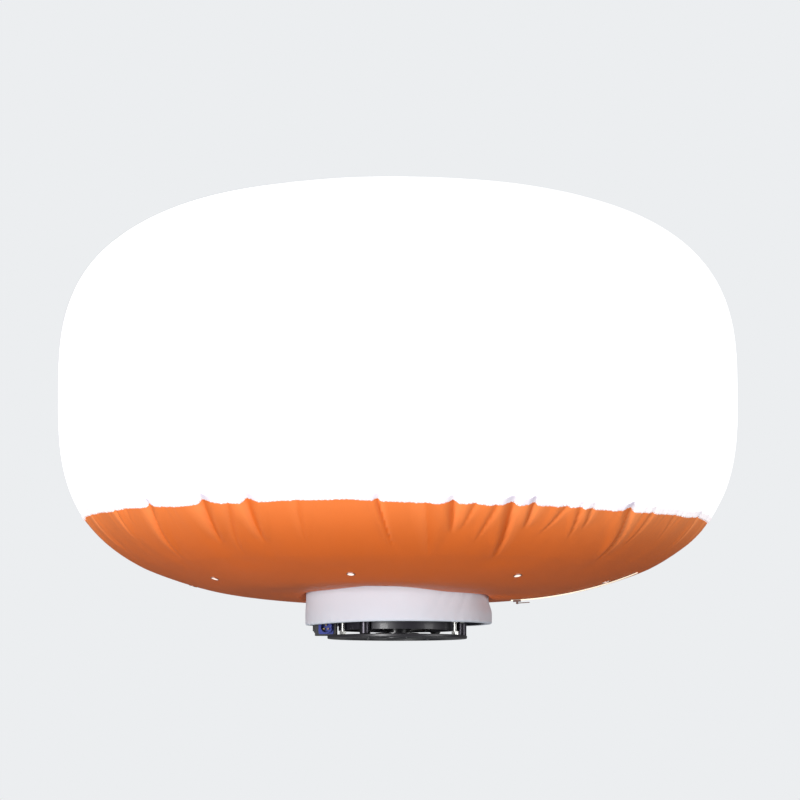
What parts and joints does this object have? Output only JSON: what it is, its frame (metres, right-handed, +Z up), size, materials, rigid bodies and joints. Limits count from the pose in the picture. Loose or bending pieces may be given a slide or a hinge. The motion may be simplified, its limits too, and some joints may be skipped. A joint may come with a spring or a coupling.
{
  "type": "inflatable balloon light head",
  "caption": "Inflated balloon light head: a glowing white cloth crown sewn to an orange bowl, on a fan base with mast socket, clamp, power inlet and switch, and an LED column inside.",
  "frame": {"origin": "middle of the deck plate's underside, on the mast socket's axis", "axes": "+Z up along the mast socket's axis; -Y is the front, where the power inlet opens; +X is right, the zip's side"},
  "size_m": [1.1026, 1.1026, 0.7292],
  "materials": {
    "envelope_white": "translucent coated ripstop, lit from inside",
    "envelope_orange": "satin coated nylon",
    "binding_white": "matt binding tape",
    "sleeve_white": "matt coated cloth",
    "webbing": "woven polyester",
    "zip_tape_cloth": "woven tape",
    "zip_nylon": "nylon coil",
    "nickel": "nickel plated",
    "stainless": "satin",
    "black_enamel": "semi gloss enamel",
    "gloss_black": "polished",
    "zinc": "zinc plated",
    "bright_wire": "plated",
    "brass": "turned",
    "black_plastic": "fine grain",
    "blue_plastic": "moulded",
    "bearing_steel": "ground",
    "copper_wire": "enamelled winding",
    "ferrite": "sintered",
    "galvanised": "powder coat",
    "aluminium": "satin",
    "board_green": "solder mask",
    "component_black": "moulded",
    "board_white": "white solder mask",
    "led_phosphor": "phosphor",
    "diffuser": "frosted",
    "cable_black": "sheath"
  },
  "bodies": {
    "base": {"band_screw": "stainless", "board_standoffs": "brass", "cable_glands": "black_plastic", "centre_bolt": "zinc", "column_cap": "aluminium", "crown_patch": "webbing", "crown_tether": "webbing", "deck_plate": "black_enamel", "deck_screws": "zinc", "diffuser_tube": "diffuser", "driver_board": "board_green", "driver_housing": "aluminium", "driver_lid": "aluminium", "driver_parts": "component_black", "duct_ring": "gloss_black", "envelope_lower": "envelope_orange", "envelope_upper": "envelope_white", "fan_bearings": "bearing_steel", "fan_coils": "copper_wire", "fan_frame": "black_plastic", "fan_lead": "cable_black", "fan_screws": "zinc", "fan_stator": "bearing_steel", "finger_guard": "bright_wire", "flange_grommet": "cable_black", "guard_cage": "zinc", "inlet_contacts": "brass", "inlet_housing": "black_plastic", "inlet_socket": "blue_plastic", "lamp_stand": "galvanised", "led_boards": "board_white", "led_chips": "led_phosphor", "led_core": "aluminium", "lid_screws": "zinc", "mast_socket": "black_enamel", "neck_band": "stainless", "neck_cuff": "sleeve_white", "neck_flange": "black_enamel", "neck_sleeve": "sleeve_white", "post_nuts": "zinc", "seam_binding": "binding_white", "spacer_posts": "black_enamel", "stand_screws": "zinc", "supply_cable": "cable_black", "switch_bezel": "black_plastic", "tether_buckle": "black_plastic", "tether_hook": "zinc", "tie_rods": "zinc", "vent_eyelets": "nickel", "zip_coil": "zip_nylon", "zip_tape": "zip_tape_cloth"},
    "fan": {"fan_rotor": "black_plastic", "rotor_magnet": "ferrite", "fan_shaft": "bearing_steel"},
    "clamp_pad": {"clamp_pad": "brass"},
    "clamp_knob": {"clamp_knob": "black_plastic", "clamp_screw": "zinc"},
    "zip_slider": {"zip_slider": "nickel"},
    "zip_pull": {"zip_pull": "nickel"},
    "rocker": {"power_rocker": "black_plastic"}
  },
  "joints": [
    {"name": "fan_spin", "type": "hinge", "parent": "base", "child": "fan", "pos_m": [0, 0, 0.08], "axis": [0, 0, 1], "continuous": true},
    {"name": "clamp_pad_slide", "type": "slide", "parent": "base", "child": "clamp_pad", "axis": [-0.5, -0.866, 0], "range_m": [0, 0.003]},
    {"name": "clamp_knob_turn", "type": "hinge", "parent": "clamp_pad", "child": "clamp_knob", "pos_m": [0.0625, 0.10825, 0.018], "axis": [-0.5, -0.866, 0], "range_deg": [0, 1080.5]},
    {"name": "zip_slider_travel", "type": "hinge", "parent": "base", "child": "zip_slider", "pos_m": [0.16072, -0.02259, 0.674], "axis": [-0.1392, -0.9903, 0], "range_deg": [0, 17.5]},
    {"name": "zip_pull_flip", "type": "hinge", "parent": "zip_slider", "child": "zip_pull", "pos_m": [0.19344, -0.02719, 0.05653], "axis": [0.1392, 0.9903, 0], "range_deg": [0, 165]},
    {"name": "rocker_tilt", "type": "hinge", "parent": "base", "child": "rocker", "pos_m": [-0.132, 0, 0.0175], "axis": [0, 0, -1], "range_deg": [0, 16]}
  ],
  "couplings": [
    {"joint": "clamp_knob_turn", "follows": "clamp_pad_slide", "rad_per_m": 6283.2}
  ]
}
